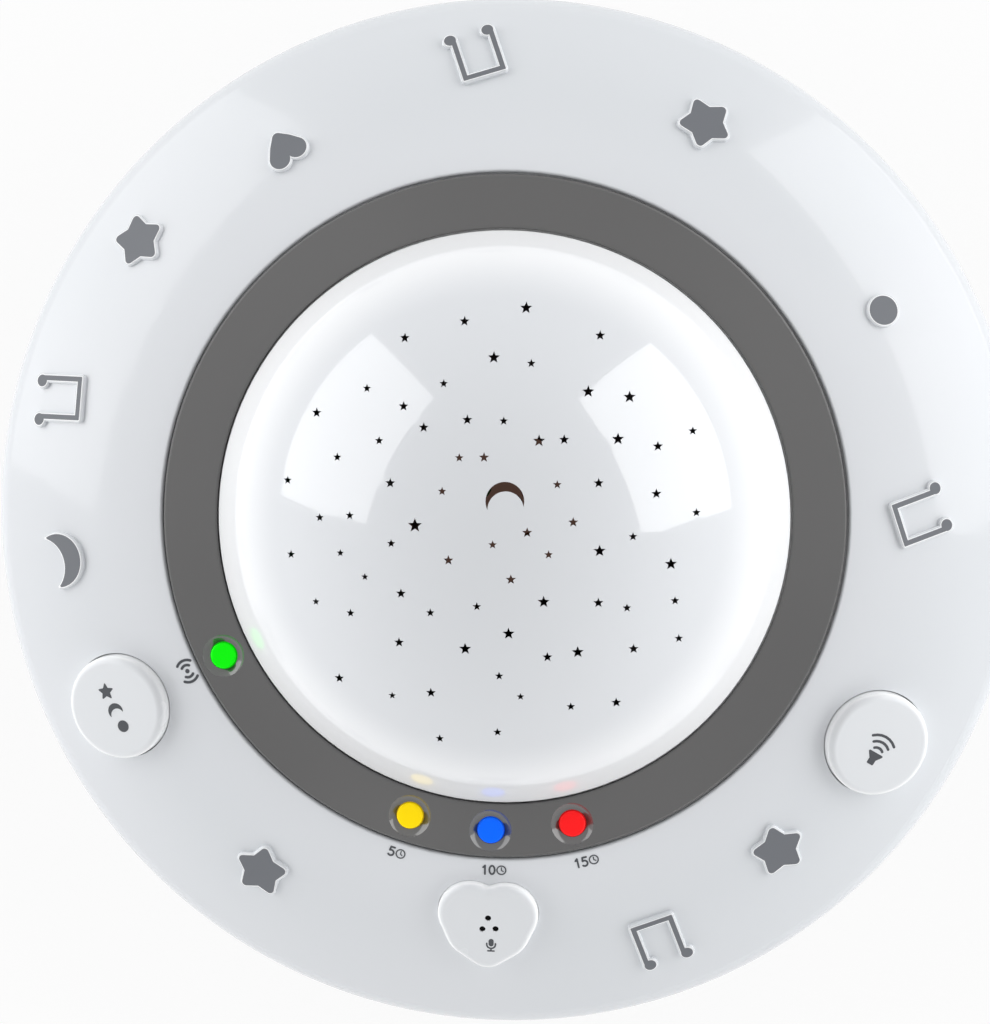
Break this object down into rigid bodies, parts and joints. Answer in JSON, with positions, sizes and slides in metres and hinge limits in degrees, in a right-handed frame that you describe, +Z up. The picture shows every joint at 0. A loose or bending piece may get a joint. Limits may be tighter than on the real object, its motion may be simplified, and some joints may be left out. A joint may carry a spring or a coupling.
{
  "type": "star night light projector",
  "caption": "Saucer-shaped night light with a dome pierced by stars and a moon, a grey ring of timer keys, two large buttons, a heart microphone cover and raised pictures.",
  "frame": {"origin": "middle of the footprint, on the surface the feet stand on", "axes": "+Z up; -Y towards the side with the microphone heart and the timer keys; +X to the right, towards the volume button"},
  "size_m": [0.2, 0.2, 0.0793],
  "materials": {
    "white_shell": "glossy white moulded plastic",
    "dome_white": "glossy white moulded plastic, slightly see-through in thin stretches",
    "white_buttons": "glossy white moulded plastic",
    "ring_grey": "satin grey moulded plastic",
    "key_green": "bright green translucent plastic",
    "key_yellow": "bright yellow translucent plastic",
    "key_blue": "bright blue translucent plastic",
    "key_red": "bright red translucent plastic",
    "black_plastic": "plain black moulded plastic",
    "circuit_board": "green solder mask",
    "phenolic_board": "brown phenolic paper board",
    "can_metal": "plain drawn can",
    "rubber": "dark grey rubber",
    "cell_wrap": null,
    "steel": "bright zinc-plated steel",
    "speaker_steel": "black pressed steel",
    "speaker_paper": "black paper cone",
    "magnet": "dark ferrite",
    "lamp_red": "tinted clear resin",
    "lamp_green": "tinted clear resin",
    "lamp_blue": "tinted clear resin",
    "lamp_amber": "tinted clear resin"
  },
  "bodies": {
    "housing": {"upper_housing": "white_shell", "lower_housing": "white_shell", "dome": "dome_white", "bezel_ring": "ring_grey", "mic_cover": "white_buttons", "mode_switch": "black_plastic", "volume_switch": "black_plastic", "key_switches": "black_plastic", "mode_board": "circuit_board", "volume_board": "circuit_board", "key_board": "circuit_board", "main_board": "circuit_board", "lamp_board": "phenolic_board", "sound_chip": "black_plastic", "capacitor": "can_metal", "microphone": "can_metal", "mic_boot": "rubber", "rubber_feet": "rubber", "battery_cells": "cell_wrap", "battery_springs": "steel", "battery_contacts": "steel", "housing_screws": "steel", "board_screws": "steel", "ring_screws": "steel", "speaker_screws": "steel", "speaker_frame": "speaker_steel", "speaker_cone": "speaker_paper", "speaker_magnet": "magnet", "power_switch_body": "black_plastic", "lamp_stand": "white_shell", "red_lamp": "lamp_red", "green_lamp": "lamp_green", "blue_lamp": "lamp_blue", "amber_lamp": "lamp_amber"},
    "mode_button": {"mode_button": "white_buttons", "mode_plunger": "black_plastic"},
    "volume_button": {"volume_button": "white_buttons", "volume_plunger": "black_plastic"},
    "vox_button": {"vox_button": "key_green", "vox_plunger": "black_plastic"},
    "timer_5_button": {"timer_5_button": "key_yellow", "timer_5_plunger": "black_plastic"},
    "timer_10_button": {"timer_10_button": "key_blue", "timer_10_plunger": "black_plastic"},
    "timer_15_button": {"timer_15_button": "key_red", "timer_15_plunger": "black_plastic"},
    "battery_door": {"battery_door": "white_shell", "door_screws": "steel"},
    "power_switch": {"power_switch_knob": "black_plastic"}
  },
  "joints": [
    {"name": "mode_button_press", "type": "slide", "parent": "housing", "child": "mode_button", "axis": [0.3653, 0.2025, -0.9086], "range_m": [0, 0.0008], "stiffness_N_per_m": 1200},
    {"name": "volume_button_press", "type": "slide", "parent": "housing", "child": "volume_button", "axis": [-0.3653, 0.2025, -0.9086], "range_m": [0, 0.0008], "stiffness_N_per_m": 1200},
    {"name": "vox_button_press", "type": "slide", "parent": "housing", "child": "vox_button", "axis": [0, 0, -1], "range_m": [0, 0.0005], "stiffness_N_per_m": 1500},
    {"name": "timer_5_button_press", "type": "slide", "parent": "housing", "child": "timer_5_button", "axis": [0, 0, -1], "range_m": [0, 0.0005], "stiffness_N_per_m": 1500},
    {"name": "timer_10_button_press", "type": "slide", "parent": "housing", "child": "timer_10_button", "axis": [0, 0, -1], "range_m": [0, 0.0005], "stiffness_N_per_m": 1500},
    {"name": "timer_15_button_press", "type": "slide", "parent": "housing", "child": "timer_15_button", "axis": [0, 0, -1], "range_m": [0, 0.0005], "stiffness_N_per_m": 1500},
    {"name": "battery_door_pull", "type": "slide", "parent": "housing", "child": "battery_door", "axis": [0, 0, -1], "range_m": [0, 0.014]},
    {"name": "power_switch_slide", "type": "slide", "parent": "housing", "child": "power_switch", "axis": [0, 1, 0], "range_m": [0, 0.003]}
  ]
}
